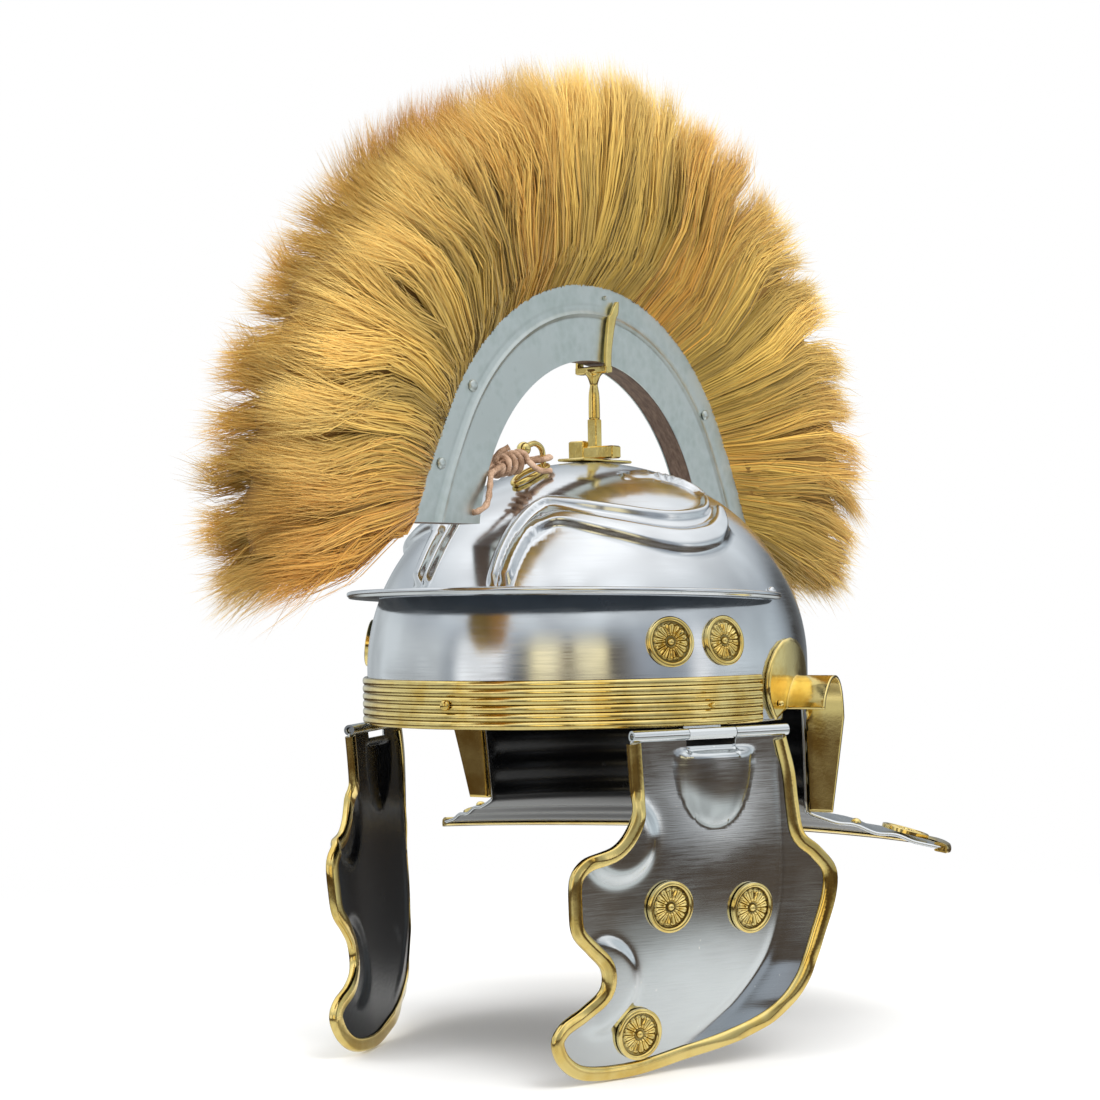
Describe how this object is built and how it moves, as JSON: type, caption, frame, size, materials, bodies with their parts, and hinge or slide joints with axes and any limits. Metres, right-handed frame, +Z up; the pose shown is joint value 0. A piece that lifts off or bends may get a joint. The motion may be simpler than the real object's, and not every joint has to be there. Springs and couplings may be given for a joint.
{
  "type": "roman legionary helmet",
  "caption": "Steel legionary helmet with brass trim, hinged cheek guards, neck guard and a fore-and-aft crest of golden fur on a metal arch.",
  "frame": {"origin": "the inside of the crown, where the helmet rests on the top of a head", "axes": "+X to the wearer's left, -Y to the front, +Z up"},
  "size_m": [0.307, 0.5038, 0.4722],
  "materials": {
    "steel": "polished",
    "brass": "polished",
    "galvanised": "dull, galvanised",
    "wood": "dark stained",
    "fur": "long golden fur",
    "leather": "undyed lace"
  },
  "bodies": {
    "helmet": {"band_rivet_front": "brass", "band_rivet_left": "brass", "band_rivet_right": "brass", "bowl": "steel", "bowl_rosette_left_back": "brass", "bowl_rosette_left_front": "brass", "bowl_rosette_right_back": "brass", "bowl_rosette_right_front": "brass", "brow_band": "brass", "brow_guard": "steel", "brow_rivet_left": "steel", "brow_rivet_right": "steel", "crest_base": "brass", "crest_core": "wood", "crest_fork": "brass", "crest_rivet_left_0": "galvanised", "crest_rivet_left_1": "galvanised", "crest_rivet_left_2": "galvanised", "crest_rivet_left_3": "galvanised", "crest_rivet_right_0": "galvanised", "crest_rivet_right_1": "galvanised", "crest_rivet_right_2": "galvanised", "crest_rivet_right_3": "galvanised", "crest_side_left": "galvanised", "crest_side_right": "galvanised", "ear_guard_left": "brass", "ear_guard_right": "brass", "ear_rivet_left": "brass", "ear_rivet_right": "brass", "front_hook": "brass", "hinge_leaf_left": "steel", "hinge_leaf_right": "steel", "lace": "leather", "neck_edging": "brass", "neck_rivet_left": "brass", "neck_rivet_right": "brass", "neck_rosette_left": "brass", "neck_rosette_right": "brass", "plume": "fur"},
    "cheek_left": {"cheek_edging_left": "brass", "cheek_plate_left": "steel", "cheek_rosette_left_back": "brass", "cheek_rosette_left_front": "brass", "cheek_rosette_left_lower": "brass"},
    "cheek_right": {"cheek_edging_right": "brass", "cheek_plate_right": "steel", "cheek_rosette_right_back": "brass", "cheek_rosette_right_front": "brass", "cheek_rosette_right_lower": "brass"}
  },
  "joints": [
    {"name": "cheek_left_hinge", "type": "hinge", "parent": "helmet", "child": "cheek_left", "pos_m": [0.0982, -0.0466, -0.1269], "axis": [-0.3899, -0.9208, 0], "range_deg": [-15, 95]},
    {"name": "cheek_right_hinge", "type": "hinge", "parent": "helmet", "child": "cheek_right", "pos_m": [-0.0982, -0.0466, -0.1269], "axis": [-0.3899, 0.9208, 0], "range_deg": [-15, 95]}
  ]
}
